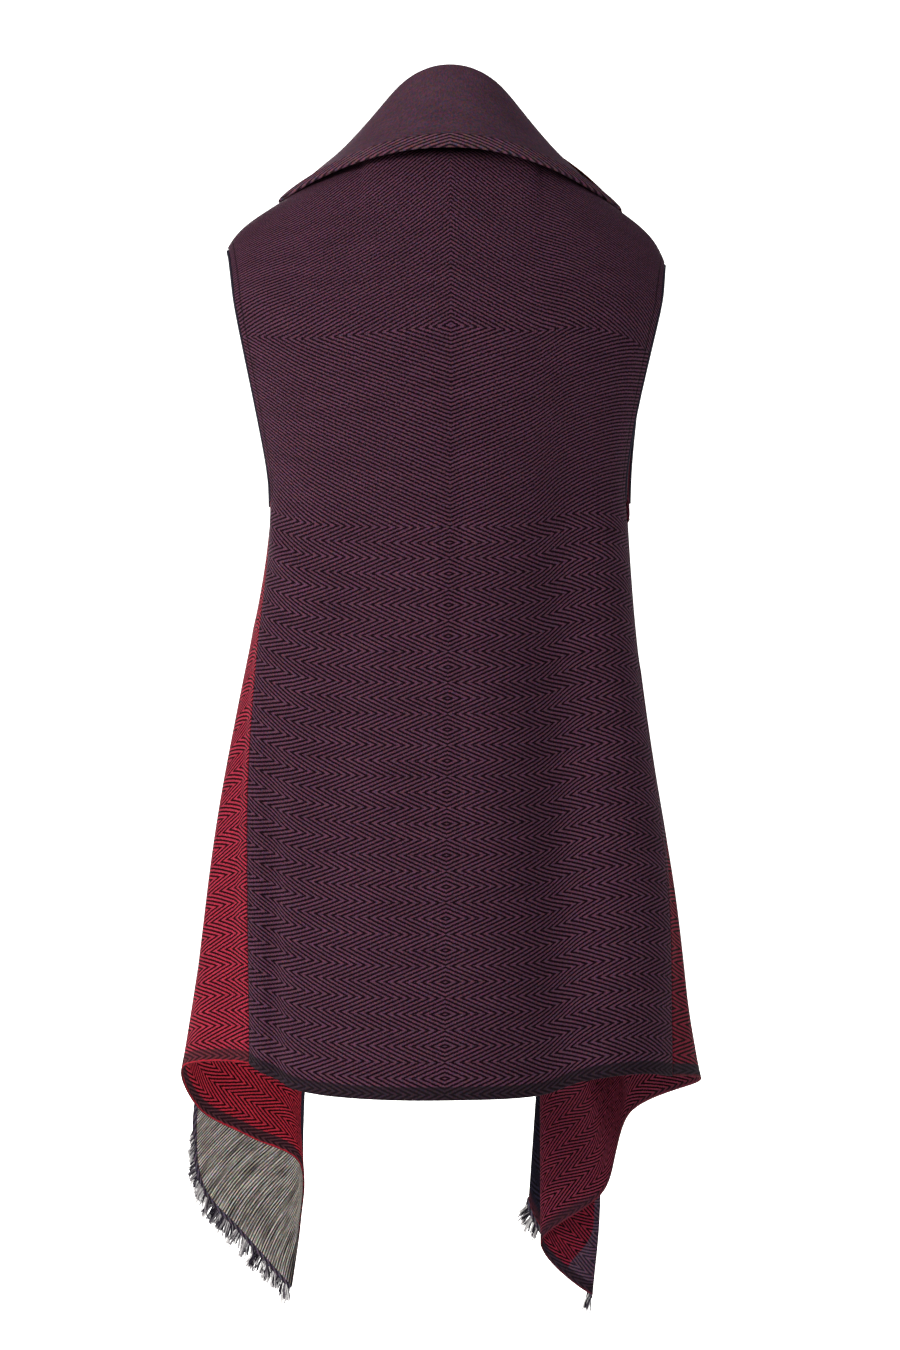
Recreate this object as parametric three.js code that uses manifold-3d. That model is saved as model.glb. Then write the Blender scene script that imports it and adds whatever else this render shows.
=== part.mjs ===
// Sleeveless wool cape with a folded shawl collar, armhole slits and fringed, turned-back fronts.
// Millimetres, +Z up, +Y towards the wearer's front, +X towards the wearer's right.
// The origin is the middle of the neck opening, level with the nape, where the shoulders carry it.

import * as THREE from "three";
import { mergeVertices } from "three/addons/utils/BufferGeometryUtils.js";
import Module from "manifold-3d";

// ---------------------------------------------------------------- driving dimensions

const clothThickness = 2.2;
const seamGap = 0.3;
const sideGap = 0.8; // between the back's and a front's middle surfaces, which meet at a slight angle
const ridgeGap = 0.5; // each side of the shoulder's ridge

const shoulderTopZ = -150; // where the back starts to round over the shoulder
const hemZ = -949; // hem at the centre back
const armholeBottomZ = -376;

const neck = { halfWidth: 82, depth: 78, sideRise: 10 };
const collarRidge = { halfWidth: 68, depth: 66, sideZ: 43, backRise: 45, fall: 1.3, standShare: 0.55 };
const collarEdge = { halfWidth: 178, depth: 112, hug: 1.8, bulge: 9, roll: 4, sideRoll: 0.25 };
const binding = { gap: 0.9, width: 3, thickness: 3.2, startAbove: 16 };
const fringe = { gap: 0.5, strip: 4, strand: 2.2, taper: 0.5, length: 17, strands: 84, topZ: -165, droop: 0.7 };
const fringeUneven = { amount: 0.14, turn: 2.4 }; // share that strands differ by, and radians from one to the next

// The collar's rolled edge, in rolls up the leaf from the edge and out of it.
const rollShape = { lowLeaf: { up: -2.2, out: 0.8 }, under: { up: -2.4, out: -1.1 } };

// How square the back is where it rounds over the shoulder, at its middle and at the shoulder's end.
const shoulderRound = { middle: 3, end: 2.2 };
const shoulderDropPower = 14; // how late the ridge turns down at the shoulder's end

// The shoulder's end, the collar edge over it, and the share of its fall that is an even slope.
const shoulders = {
  left: { sign: -1, endX: 231, endZ: -92, edgeZ: -41, slope: 0.87 },
  right: { sign: 1, endX: 223, endZ: -107, edgeZ: -49, slope: 0.83 },
};

// Sections of the back, top to hem. Edges are where it meets an armhole or a front; turn is how far
// round the section has bent at that edge, in degrees.
const backSections = [
  { z: -150, midX: 1, midY: -108, leftX: -221, leftY: -32, leftTurn: 62, rightX: 217, rightY: -32, rightTurn: 62 },
  { z: -211, midX: 1, midY: -113, leftX: -209, leftY: -30, leftTurn: 68, rightX: 203, rightY: -30, rightTurn: 68 },
  { z: -273, midX: 1, midY: -110, leftX: -197, leftY: -24, leftTurn: 74, rightX: 190, rightY: -24, rightTurn: 74 },
  { z: -335, midX: 0, midY: -103, leftX: -187, leftY: -15, leftTurn: 80, rightX: 182, rightY: -12, rightTurn: 80 },
  { z: -376, midX: 0, midY: -98, leftX: -186, leftY: -8, leftTurn: 84, rightX: 184, rightY: -2, rightTurn: 86 },
  { z: -429, midX: -1, midY: -94, leftX: -190, leftY: -12, leftTurn: 84, rightX: 188, rightY: 8, rightTurn: 90 },
  { z: -523, midX: -2, midY: -97, leftX: -199, leftY: -38, leftTurn: 78, rightX: 196, rightY: 2, rightTurn: 88 },
  { z: -649, midX: -3, midY: -112, leftX: -206, leftY: -64, leftTurn: 74, rightX: 212, rightY: -22, rightTurn: 82 },
  { z: -775, midX: -4, midY: -131, leftX: -206, leftY: -76, leftTurn: 72, rightX: 225, rightY: -50, rightTurn: 76 },
  { z: -902, midX: -5, midY: -158, leftX: -204, leftY: -84, leftTurn: 72, rightX: 227, rightY: -66, rightTurn: 72 },
  { z: -949, midX: -5, midY: -170, leftX: -204, leftY: -86, leftTurn: 72, rightX: 227, rightY: -72, rightTurn: 72 },
];

// Height of the hem across the back, from its left edge (-1) to its right edge (1).
const backHem = [
  { across: -1, z: -930 },
  { across: -0.8, z: -945 },
  { across: 0, z: -949 },
  { across: 0.32, z: -946 },
  { across: 0.5, z: -935 },
  { across: 0.75, z: -934 },
  { across: 1, z: -944 },
];

// Front edge of each armhole slit, from its bottom up to the shoulder's end.
const armholeFront = [
  { z: -376, x: 187, y: -4 },
  { z: -340, x: 189, y: 30 },
  { z: -270, x: 197, y: 62 },
  { z: -190, x: 208, y: 64 },
  { z: -130, x: 222, y: 40 },
  { z: -92, x: 231, y: 0 },
];

// Lines down each front, from the side inwards, then out again over the turned-back lapel. Each cell is
// [distance from the middle, y, z] where the line passes that level.
const leftLines = [
  { line: "side", shoulder: [180, 0, -50], collarbone: [186, 40, -68], chest: [180, 72, -160],
    waist: [186, 24, -376], hip: [216, 6, -560], hem: [283, 20, -955] },
  { line: "front", shoulder: [128, 0, -20], collarbone: [132, 54, -48], chest: [134, 96, -165],
    waist: [160, 76, -378], hip: [188, 68, -580], hem: [269, 70, -1009] },
  { line: "pleat", shoulder: [94, 0, 2], collarbone: [100, 58, -34], chest: [108, 105, -165],
    waist: [126, 101, -380], hip: [146, 98, -600], hem: [218, 116, -1049] },
  { line: "roll", shoulder: [68, 0, 43], collarbone: [78, 66, -6], chest: [86, 114, -160],
    waist: [95, 119, -385], hip: [114, 122, -620], hem: [166, 150, -1086] },
  { line: "lapel", shoulder: [122, 0, 2], collarbone: [140, 76, -42], chest: [146, 128, -175],
    waist: [142, 134, -392], hip: [166, 142, -650], hem: [167, 166, -1162] },
];
const rightLines = [
  { line: "side", shoulder: [180, 0, -58], collarbone: [186, 40, -76], chest: [178, 72, -168],
    waist: [184, 28, -376], hip: [203, 10, -560], hem: [265, 20, -967] },
  { line: "front", shoulder: [128, 0, -23], collarbone: [132, 54, -50], chest: [134, 96, -168],
    waist: [158, 78, -378], hip: [176, 72, -580], hem: [194, 95, -1019] },
  { line: "pleat", shoulder: [94, 0, 2], collarbone: [100, 58, -34], chest: [108, 105, -165],
    waist: [124, 101, -380], hip: [136, 100, -600], hem: [169, 130, -1111] },
  { line: "roll", shoulder: [68, 0, 43], collarbone: [78, 66, -6], chest: [86, 114, -160],
    waist: [94, 119, -385], hip: [98, 124, -640], hem: [101, 152, -1176] },
  { line: "fold", shoulder: [104, 0, 12], collarbone: [118, 75, -32], chest: [126, 129, -170],
    waist: [128, 134, -392], hip: [150, 143, -650], hem: [158, 170, -1240] },
  { line: "turn", shoulder: [140, 0, -15], collarbone: [160, 74, -62], chest: [168, 126, -185],
    waist: [148, 136, -396], hip: [122, 162, -650], hem: [83, 188, -1133] },
];

// The free end of each front, from the collar's edge on the shoulder down to its lowest point.
const leftFree = [[177, 0, -44], [196, 62, -80], [196, 112, -180], [170, 124, -330], [170, 128, -429],
  [198, 136, -600], [236, 148, -775], [262, 160, -930], [281, 168, -1050], [272, 172, -1118],
  [232, 176, -1166], [176, 172, -1228]];
const rightFree = [[177, 0, -50], [196, 62, -86], [194, 112, -186], [166, 126, -330], [164, 134, -429],
  [170, 164, -600], [172, 186, -775], [164, 198, -930], [150, 204, -1060]];

const levels = ["shoulder", "collarbone", "chest", "waist", "hip", "hem"];

// Grid sizes: rows up each piece and columns over each span of a front's section.
const backGrid = { rows: 22, shoulderRows: 6, columns: 24 };
const frontGrid = { rows: 24, rowPower: 1.08, seamColumns: 3, panelColumns: 3, rollColumns: 6, lapelColumns: 5 };
const collarGrid = { stations: 26, spans: [2, 4, 4, 3, 3, 2] };
const lineDivisions = 400;
const foldCrowding = 1.7; // power that draws columns towards a fold
const seamInside = 0.96; // place across the back that gives the way it runs into its edge

const colours = { plum: 0x3f2633, red: 0x8a2230, darkRed: 0x5a1f2b, navy: 0x1d1a2b, fringe: 0x5c5766 };

// ---------------------------------------------------------------- curves and tables

// Smooth value of a table's column at a place along its key, with level ends.
function sample(table, key, column, at) {
  const rows = [...table].sort((a, b) => a[key] - b[key]);
  const clamped = Math.min(Math.max(at, rows[0][key]), rows[rows.length - 1][key]);
  let k = 0;
  while (k < rows.length - 2 && clamped > rows[k + 1][key]) {
    k += 1;
  }
  const slope = (i) => {
    const lower = rows[Math.max(i - 1, 0)];
    const upper = rows[Math.min(i + 1, rows.length - 1)];
    return (upper[column] - lower[column]) / (upper[key] - lower[key]);
  };
  const span = rows[k + 1][key] - rows[k][key];
  const t = (clamped - rows[k][key]) / span;
  const t2 = t * t;
  const t3 = t2 * t;
  return (2 * t3 - 3 * t2 + 1) * rows[k][column] + (t3 - 2 * t2 + t) * span * slope(k)
    + (3 * t2 - 2 * t3) * rows[k + 1][column] + (t3 - t2) * span * slope(k + 1);
}

function mix(from, to, amount) {
  return from + (to - from) * amount;
}

// Smooth curve through points, evenly measured along its length.
function lineThrough(points) {
  const curve = new THREE.CatmullRomCurve3(points, false, "centripetal");
  curve.arcLengthDivisions = lineDivisions;
  return curve;
}

// Samples of the smooth curve through points: counts[i] steps over span i, crowded towards each fold.
function sectionPoints(points, counts, folds, before) {
  const all = before ? [before, ...points] : points;
  const curve = new THREE.CatmullRomCurve3(all, false, "centripetal");
  const first = before ? 1 : 0;
  const spans = all.length - 1;
  const result = [curve.getPoint(first / spans)];
  counts.forEach((count, span) => {
    for (let k = 1; k <= count; k += 1) {
      let t = k / count;
      if (folds[span + 1]) {
        t = 1 - (1 - t) ** foldCrowding;
      }
      if (folds[span]) {
        t = t ** foldCrowding;
      }
      result.push(curve.getPoint((first + span + t) / spans));
    }
  });
  return result;
}

// ---------------------------------------------------------------- solids from sheets

// Unit normals of a grid of points, rows by columns.
function gridNormals(grid) {
  const lastRow = grid.length - 1;
  const lastColumn = grid[0].length - 1;
  return grid.map((row, i) => row.map((point, j) => {
    const along = row[Math.min(j + 1, lastColumn)].clone().sub(row[Math.max(j - 1, 0)]);
    const up = grid[Math.min(i + 1, lastRow)][j].clone().sub(grid[Math.max(i - 1, 0)][j]);
    return along.cross(up).normalize();
  }));
}

// Closed wall of the cloth's thickness round a grid of points, half on each side of it.
function wall(grid, thickness = clothThickness) {
  const normals = gridNormals(grid);
  const rows = grid.length;
  const columns = grid[0].length;
  const positions = [];
  for (const side of [1, -1]) {
    grid.forEach((row, i) => row.forEach((point, j) => {
      const moved = point.clone().addScaledVector(normals[i][j], side * thickness / 2);
      positions.push(moved.x, moved.y, moved.z);
    }));
  }
  const outer = (i, j) => i * columns + j;
  const inner = (i, j) => rows * columns + i * columns + j;
  const indices = [];
  const quad = (a, b, c, d) => indices.push(a, b, c, a, c, d);
  for (let i = 0; i < rows - 1; i += 1) {
    for (let j = 0; j < columns - 1; j += 1) {
      quad(outer(i, j), outer(i, j + 1), outer(i + 1, j + 1), outer(i + 1, j));
      quad(inner(i, j), inner(i + 1, j), inner(i + 1, j + 1), inner(i, j + 1));
    }
    quad(outer(i, 0), outer(i + 1, 0), inner(i + 1, 0), inner(i, 0));
    quad(outer(i, columns - 1), inner(i, columns - 1), inner(i + 1, columns - 1), outer(i + 1, columns - 1));
  }
  for (let j = 0; j < columns - 1; j += 1) {
    quad(outer(0, j), inner(0, j), inner(0, j + 1), outer(0, j + 1));
    quad(outer(rows - 1, j), outer(rows - 1, j + 1), inner(rows - 1, j + 1), inner(rows - 1, j));
  }
  const geometry = new THREE.BufferGeometry();
  geometry.setAttribute("position", new THREE.Float32BufferAttribute(positions, 3));
  geometry.setIndex(indices);
  return geometry;
}

// Narrow strip beyond an edge: each station has a point on the edge, the way out and the cloth's normal.
function edgeStrip(stations, from, to, thickness) {
  const grid = [from, to].map((distance) => stations.map((station) => (
    station.point.clone().addScaledVector(station.out, distance)
  )));
  return wall([...grid].reverse(), thickness);
}

// ---------------------------------------------------------------- back

// Top edge of the back: the shoulder's ridge outside the neck, the neckline within it.
function backTop(across) {
  const side = across < 0 ? shoulders.left : shoulders.right;
  const amount = Math.abs(across);
  const neckShare = neck.halfWidth / side.endX;
  if (amount <= neckShare) {
    const turn = Math.asin(amount / neckShare);
    return new THREE.Vector3(
      side.sign * neck.halfWidth * Math.sin(turn),
      -neck.depth * Math.cos(turn) - ridgeGap,
      neck.sideRise * Math.sin(turn) ** 2,
    );
  }
  const t = (amount - neckShare) / (1 - neckShare);
  const drop = side.slope * t + (1 - side.slope) * t ** shoulderDropPower;
  return new THREE.Vector3(
    side.sign * mix(neck.halfWidth, side.endX, t),
    -ridgeGap,
    mix(neck.sideRise, side.endZ, drop),
  );
}

// Point of the back's section at a height: across runs from -1 at its left edge to 1 at its right.
function backSection(across, z) {
  const side = across < 0 ? "left" : "right";
  const amount = Math.abs(across);
  const midX = sample(backSections, "z", "midX", z);
  const midY = sample(backSections, "z", "midY", z);
  const edgeX = sample(backSections, "z", `${side}X`, z);
  const edgeY = sample(backSections, "z", `${side}Y`, z);
  const turn = THREE.MathUtils.degToRad(sample(backSections, "z", `${side}Turn`, z));
  const x = mix(midX, edgeX, Math.sin(amount * turn) / Math.sin(turn));
  const y = mix(midY, edgeY, (1 - Math.cos(amount * turn)) / (1 - Math.cos(turn)));
  return new THREE.Vector3(x, y, z);
}

// Point of the back at a height share: 0 at the hem, 1 where it starts to round over the shoulder.
function backPoint(across, share) {
  const z = mix(hemZ, shoulderTopZ, share);
  const point = backSection(across, z);
  const hem = sample(backHem, "across", "z", across);
  point.z += (hem - hemZ) * (1 - share) ** 2;
  return point;
}

// Point of the rounded shoulder above that: amount is 0 at the back and 1 on the ridge.
function shoulderPoint(across, amount) {
  const low = backPoint(across, 1);
  const top = backTop(across);
  const power = 2 / mix(shoulderRound.middle, shoulderRound.end, Math.abs(across));
  const lean = Math.cos(amount * Math.PI / 2) ** power;
  const rise = Math.sin(amount * Math.PI / 2) ** power;
  return new THREE.Vector3(
    mix(low.x, top.x, amount),
    mix(top.y, low.y, lean),
    mix(low.z, top.z, rise),
  );
}

function backSheet() {
  const grid = [];
  const acrossAt = (j) => mix(-1, 1, j / backGrid.columns);
  const columns = [...Array(backGrid.columns + 1).keys()];
  for (let i = 0; i < backGrid.rows; i += 1) {
    grid.push(columns.map((j) => backPoint(acrossAt(j), i / backGrid.rows)));
  }
  for (let i = 0; i <= backGrid.shoulderRows; i += 1) {
    grid.push(columns.map((j) => shoulderPoint(acrossAt(j), i / backGrid.shoulderRows)));
  }
  return grid;
}

// ---------------------------------------------------------------- fronts

// Share of the back's height at which its side edge has this z: the hem's own rise is taken off first.
function seamShare(across, z) {
  const rise = backPoint(across, 0).z - hemZ;
  let share = 0;
  for (let i = 0; i < 5; i += 1) {
    share = (z - rise * (1 - share) ** 2 - hemZ) / (shoulderTopZ - hemZ);
  }
  return Math.max(share, 0);
}

// Outer edge of a front: along the back below the armhole, along the slit above it.
function frontSeam(side, z) {
  if (z < armholeBottomZ) {
    const across = side.sign;
    const share = seamShare(across, z);
    const edge = backPoint(across, share);
    const inside = backPoint(across * seamInside, share);
    const out = edge.clone().sub(inside).setZ(0).normalize();
    return { point: edge.addScaledVector(out, sideGap), before: inside };
  }
  const lift = (z - armholeBottomZ) / (side.endZ - armholeBottomZ);
  const scale = mix(1, side.endX / shoulders.left.endX, lift);
  const tableZ = mix(armholeBottomZ, shoulders.left.endZ, lift);
  const x = sample(armholeFront, "z", "x", tableZ) * scale;
  const y = sample(armholeFront, "z", "y", tableZ) + ridgeGap;
  return { point: new THREE.Vector3(side.sign * x, y, z), before: null };
}

// Grid of one front, hem first: each row runs from the side to the roll line and back over the lapel.
function frontSheet(side, lines, free) {
  const toPoint = ([x, y, z]) => new THREE.Vector3(side.sign * x, y + ridgeGap, z);
  const curves = lines.map((row) => lineThrough(levels.map((level) => toPoint(row[level])).reverse()));
  curves.push(lineThrough(free.map(toPoint).reverse()));
  const seamHemZ = backPoint(side.sign, 0).z;
  const folds = [false, ...lines.map((row) => ["roll", "fold", "turn"].includes(row.line)), false];
  const counts = folds.slice(1).map((fold, span) => {
    if (span === 0) {
      return frontGrid.seamColumns;
    }
    if (lines[span]?.line === "roll") {
      return frontGrid.rollColumns;
    }
    return folds[span] || fold ? frontGrid.lapelColumns : frontGrid.panelColumns;
  });
  const shares = [...Array(frontGrid.rows + 1).keys()].map((i) => (i / frontGrid.rows) ** frontGrid.rowPower);
  return shares.map((share) => {
    const seam = frontSeam(side, mix(seamHemZ, side.endZ, share));
    const points = [seam.point, ...curves.map((curve) => curve.getPointAt(share))];
    return sectionPoints(points, counts, folds, seam.before);
  });
}

// ---------------------------------------------------------------- collar

// Points of the collar's profile at a station: -90 degrees is the left shoulder, 0 the centre back.
function collarProfile(angle) {
  const side = angle < 0 ? shoulders.left : shoulders.right;
  const sine = Math.sin(angle);
  const cosine = Math.max(Math.cos(angle), 0);
  const base = new THREE.Vector3(neck.halfWidth * sine, -neck.depth * cosine - seamGap, neck.sideRise * sine ** 2);
  const ridge = new THREE.Vector3(
    collarRidge.halfWidth * sine,
    -collarRidge.depth * cosine - seamGap,
    collarRidge.sideZ + collarRidge.backRise * cosine ** collarRidge.fall,
  );
  const edge = new THREE.Vector3(
    collarEdge.halfWidth * sine,
    -collarEdge.depth * cosine ** collarEdge.hug - seamGap,
    side.edgeZ * sine ** 2,
  );
  const along = edge.clone().sub(ridge).normalize();
  const sideways = new THREE.Vector3(cosine, sine, 0);
  const out = sideways.cross(along).normalize();
  const roll = collarEdge.roll * mix(collarEdge.sideRoll, 1, cosine);
  const middle = edge.clone().lerp(ridge, 0.5).addScaledVector(out, collarEdge.bulge * cosine);
  const fromEdge = (place) => edge.clone()
    .addScaledVector(along, place.up * roll)
    .addScaledVector(out, place.out * roll);
  const start = base.clone().addScaledVector(ridge.clone().sub(base).normalize(), seamGap + clothThickness / 2);
  const stand = start.clone().lerp(ridge, collarRidge.standShare);
  return [start, stand, ridge, middle, fromEdge(rollShape.lowLeaf), edge, fromEdge(rollShape.under)];
}

function collarSheet() {
  const folds = [false, false, true, false, false, false, false];
  const stations = [...Array(collarGrid.stations + 1).keys()];
  return stations.map((i) => {
    const angle = mix(-Math.PI / 2, Math.PI / 2, i / collarGrid.stations);
    return sectionPoints(collarProfile(angle), collarGrid.spans, folds, null);
  });
}

// ---------------------------------------------------------------- trims

// Stations along an edge of a grid, from its points and the next points inwards: each has its point and
// the way out of the sheet there, square to the edge.
function edgeStations(points, inside) {
  return points.map((point, i) => {
    const out = point.clone().sub(inside[i]).normalize();
    const along = points[Math.min(i + 1, points.length - 1)].clone().sub(points[Math.max(i - 1, 0)]).normalize();
    out.addScaledVector(along, -out.dot(along)).normalize();
    return { point: point.clone(), out };
  });
}

// Column of a grid's rows.
function column(rows, index) {
  return rows.map((row) => row[index]);
}

// Free end of a front from its lowest row up to where the fringe stops.
function freeEnd(grid) {
  const last = grid[0].length - 1;
  const rows = grid.filter((row) => row[last].z < fringe.topZ);
  return edgeStations(column(rows, last), column(rows, last - 1));
}

// The right end starts at the low corner, where the fold line ends, and follows the bottom row from there.
function rightEnd(grid) {
  const corner = grid[0].indexOf(grid[0].reduce((low, point) => (point.z < low.z ? point : low)));
  const bottom = edgeStations(grid[0].slice(corner), grid[1].slice(corner));
  const up = freeEnd(grid);
  bottom[bottom.length - 1].out.add(up[0].out).normalize();
  return [...bottom, ...up.slice(1)];
}

// Tape round one armhole: up the back's edge, over the shoulder's end and down the front's edge.
function armholeBinding(backGridPoints, frontGridPoints, side) {
  const edge = side.sign < 0 ? 0 : backGrid.columns;
  const inwards = edge === 0 ? 1 : -1;
  const above = (row) => row.z > armholeBottomZ + binding.startAbove;
  const backRows = backGridPoints.filter((row) => above(row[edge]));
  const frontRows = frontGridPoints.filter((row) => above(row[0])).reverse();
  const stations = [
    ...edgeStations(column(backRows, edge), column(backRows, edge + inwards)),
    ...edgeStations(column(frontRows, 0), column(frontRows, 1)),
  ];
  const ordered = side.sign < 0 ? stations : stations.reverse();
  return edgeStrip(ordered, binding.gap, binding.gap + binding.width, binding.thickness);
}

// ---------------------------------------------------------------- the scene

const wasm = await Module();
wasm.setup();

// Solid for a closed geometry, ready to be joined to others.
function toSolid(geometry) {
  const bare = geometry.clone();
  bare.deleteAttribute("normal");
  bare.deleteAttribute("uv");
  const merged = mergeVertices(bare, 1e-4);
  return new wasm.Manifold(new wasm.Mesh({
    numProp: 3,
    vertProperties: Float32Array.from(merged.attributes.position.array),
    triVerts: Uint32Array.from(merged.index.array),
  }));
}

function toGeometry(solid) {
  const mesh = solid.getMesh();
  const geometry = new THREE.BufferGeometry();
  geometry.setAttribute("position", new THREE.Float32BufferAttribute(mesh.vertProperties, 3));
  geometry.setIndex([...mesh.triVerts]);
  return geometry;
}

// Three-sided strand from its root inside the strip to its tip.
function strand(root, tip, width) {
  const along = tip.clone().sub(root).normalize();
  const sideways = new THREE.Vector3(0, 1, 0).cross(along).normalize();
  const across = along.clone().cross(sideways);
  const ring = (centre, size) => [0, 1, 2].map((corner) => {
    const angle = corner * 2 * Math.PI / 3;
    return centre.clone()
      .addScaledVector(sideways, size * Math.cos(angle) / 2)
      .addScaledVector(across, size * Math.sin(angle) / 2);
  });
  const points = [...ring(root, width), ...ring(tip, width * fringe.taper)];
  const geometry = new THREE.BufferGeometry();
  geometry.setAttribute("position", new THREE.Float32BufferAttribute(points.flatMap((p) => p.toArray()), 3));
  geometry.setIndex([0, 2, 1, 3, 4, 5, 0, 1, 4, 0, 4, 3, 1, 2, 5, 1, 5, 4, 2, 0, 3, 2, 3, 5]);
  return geometry;
}

// Fringe along one end: a narrow strip just off the cloth's edge, with strands fused into it.
function fringeGeometry(stations) {
  const strip = toSolid(edgeStrip(stations, fringe.gap, fringe.gap + fringe.strip, clothThickness));
  const lengths = [0];
  stations.slice(1).forEach((station, i) => lengths.push(lengths[i] + station.point.distanceTo(stations[i].point)));
  const total = lengths[lengths.length - 1];
  const strands = [];
  for (let k = 0; k < fringe.strands; k += 1) {
    const distance = total * (k + 0.5) / fringe.strands;
    const next = lengths.findIndex((length) => length > distance);
    const t = (distance - lengths[next - 1]) / (lengths[next] - lengths[next - 1]);
    const out = stations[next - 1].out.clone().lerp(stations[next].out, t);
    const uneven = 1 - fringeUneven.amount * (1 - Math.sin(k * fringeUneven.turn));
    const hang = out.clone().add(new THREE.Vector3(0, 0, -fringe.droop)).normalize();
    const root = stations[next - 1].point.clone().lerp(stations[next].point, t)
      .addScaledVector(out, fringe.gap + fringe.strip / 2);
    const tip = root.clone().addScaledVector(hang, fringe.length * uneven);
    strands.push(toSolid(strand(root, tip, fringe.strand)));
  }
  return toGeometry(wasm.Manifold.union([strip, ...strands]));
}

function addPiece(group, name, geometry, colour, roughness) {
  const material = new THREE.MeshStandardMaterial({ color: colour, roughness, metalness: 0 });
  const mesh = new THREE.Mesh(geometry, material);
  mesh.name = name;
  group.add(mesh);
}

const cape = new THREE.Group();
const back = backSheet();
const frontLeft = frontSheet(shoulders.left, leftLines, leftFree);
const frontRight = frontSheet(shoulders.right, rightLines, rightFree);

addPiece(cape, "back", wall(back), colours.plum, 0.9);
addPiece(cape, "front_left", wall(frontLeft), colours.red, 0.9);
addPiece(cape, "front_right", wall(frontRight), colours.darkRed, 0.9);
addPiece(cape, "collar", wall(collarSheet()), colours.plum, 0.9);
addPiece(cape, "binding_left", armholeBinding(back, frontLeft, shoulders.left), colours.navy, 0.8);
addPiece(cape, "binding_right", armholeBinding(back, frontRight, shoulders.right), colours.navy, 0.8);
addPiece(cape, "fringe_left", fringeGeometry(freeEnd(frontLeft)), colours.fringe, 0.95);
addPiece(cape, "fringe_right", fringeGeometry(rightEnd(frontRight)), colours.fringe, 0.95);

export default cape;
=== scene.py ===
import math

import bmesh
import bpy
import numpy as np
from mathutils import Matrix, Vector


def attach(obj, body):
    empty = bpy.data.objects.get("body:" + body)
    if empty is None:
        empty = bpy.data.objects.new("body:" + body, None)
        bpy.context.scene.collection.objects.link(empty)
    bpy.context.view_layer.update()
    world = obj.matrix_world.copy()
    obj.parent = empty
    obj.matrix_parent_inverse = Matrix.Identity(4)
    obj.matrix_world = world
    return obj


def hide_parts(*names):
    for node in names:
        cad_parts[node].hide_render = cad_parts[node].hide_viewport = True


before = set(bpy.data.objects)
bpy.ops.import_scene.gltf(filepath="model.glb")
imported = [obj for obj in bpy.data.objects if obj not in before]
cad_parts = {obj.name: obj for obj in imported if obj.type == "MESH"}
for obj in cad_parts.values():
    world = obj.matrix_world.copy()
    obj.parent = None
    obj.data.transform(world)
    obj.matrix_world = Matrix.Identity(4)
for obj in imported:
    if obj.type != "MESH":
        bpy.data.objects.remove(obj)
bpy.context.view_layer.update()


# curves: tables are in millimetres, meshes in metres

def mix(a, b, t):
    return a + (b - a) * t


def ease(low, high, at):
    t = np.clip((np.asarray(at, float) - low) / (high - low), 0, 1)
    return t * t * (3 - 2 * t)


def hermite(keys, values, at):  # smooth value of a table's column, level beyond its ends
    keys, values = np.asarray(keys, float), np.asarray(values, float)
    gaps = np.diff(keys)
    slopes = np.empty_like(values)
    slopes[1:-1] = (values[2:] - values[:-2]) / (keys[2:] - keys[:-2])
    slopes[0] = (values[1] - values[0]) / gaps[0]
    slopes[-1] = (values[-1] - values[-2]) / gaps[-1]
    x = np.clip(at, keys[0], keys[-1])
    k = np.clip(np.searchsorted(keys, x) - 1, 0, len(keys) - 2)
    t = (x - keys[k]) / gaps[k]
    return ((2 * t**3 - 3 * t**2 + 1) * values[k] + (t**3 - 2 * t**2 + t) * gaps[k] * slopes[k]
            + (3 * t**2 - 2 * t**3) * values[k + 1] + (t**3 - t**2) * gaps[k] * slopes[k + 1])


def spline(points, places, before=None):  # centripetal curve through points[..., n, 3], at places 0 to n - 1
    points = np.asarray(points, float)
    if before is None:
        before = 2 * points[..., 0, :] - points[..., 1, :]
    after = 2 * points[..., -1:, :] - points[..., -2:-1, :]
    full = np.concatenate([before[..., None, :], points, after], axis=-2)
    k = np.minimum(np.asarray(places).astype(int), points.shape[-2] - 2)
    t = (np.asarray(places) - k)[:, None]
    p0, p1, p2, p3 = (full[..., k + i, :] for i in range(4))
    d0, d1, d2 = (np.maximum(np.linalg.norm(b - a, axis=-1, keepdims=True), 1e-6) ** 0.5
                  for a, b in ((p0, p1), (p1, p2), (p2, p3)))
    m1 = ((p1 - p0) / d0 - (p2 - p0) / (d0 + d1) + (p2 - p1) / d1) * d1
    m2 = ((p2 - p1) / d1 - (p3 - p1) / (d1 + d2) + (p3 - p2) / d2) * d1
    return p1 + m1 * t + (3 * (p2 - p1) - 2 * m1 - m2) * t**2 + (2 * (p1 - p2) + m1 + m2) * t**3


def lengths(points, axis=0):  # distance run along an axis of a grid of points
    run = np.cumsum(np.linalg.norm(np.diff(points, axis=axis), axis=-1), axis=axis)
    return np.concatenate([np.zeros_like(np.take(run, [0], axis=axis)), run], axis=axis)


def evenly(points, shares):  # points at even distances along the curve
    places = np.linspace(0, len(points) - 1, 1200)
    run = lengths(spline(points, places))
    return spline(points, np.interp(np.asarray(shares) * run[-1], run, places))


def steps(counts, folds, crowd=1.7):  # places on a section: counts[i] steps in span i, crowded at the folds
    places = [0.0]
    for span, count in enumerate(counts):
        for k in range(1, count + 1):
            t = k / count
            if folds[span + 1]:
                t = 1 - (1 - t) ** crowd
            if folds[span]:
                t = t ** crowd
            places.append(span + t)
    return np.array(places)


# cloth: a grid of points, rows by columns, that gets a wall half to each side

cloth = {"thickness": 2.2, "seamGap": 0.3, "sideGap": 0.8, "ridgeGap": 0.5,
         "rim": 0.66,  # how far a cut edge rounds out
         "hem": 12.5,  # the dark border along the weft edges
         "pitch": 4.15, "turn": 15.8}  # twill line to twill line up the cloth, and reversal to reversal


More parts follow.
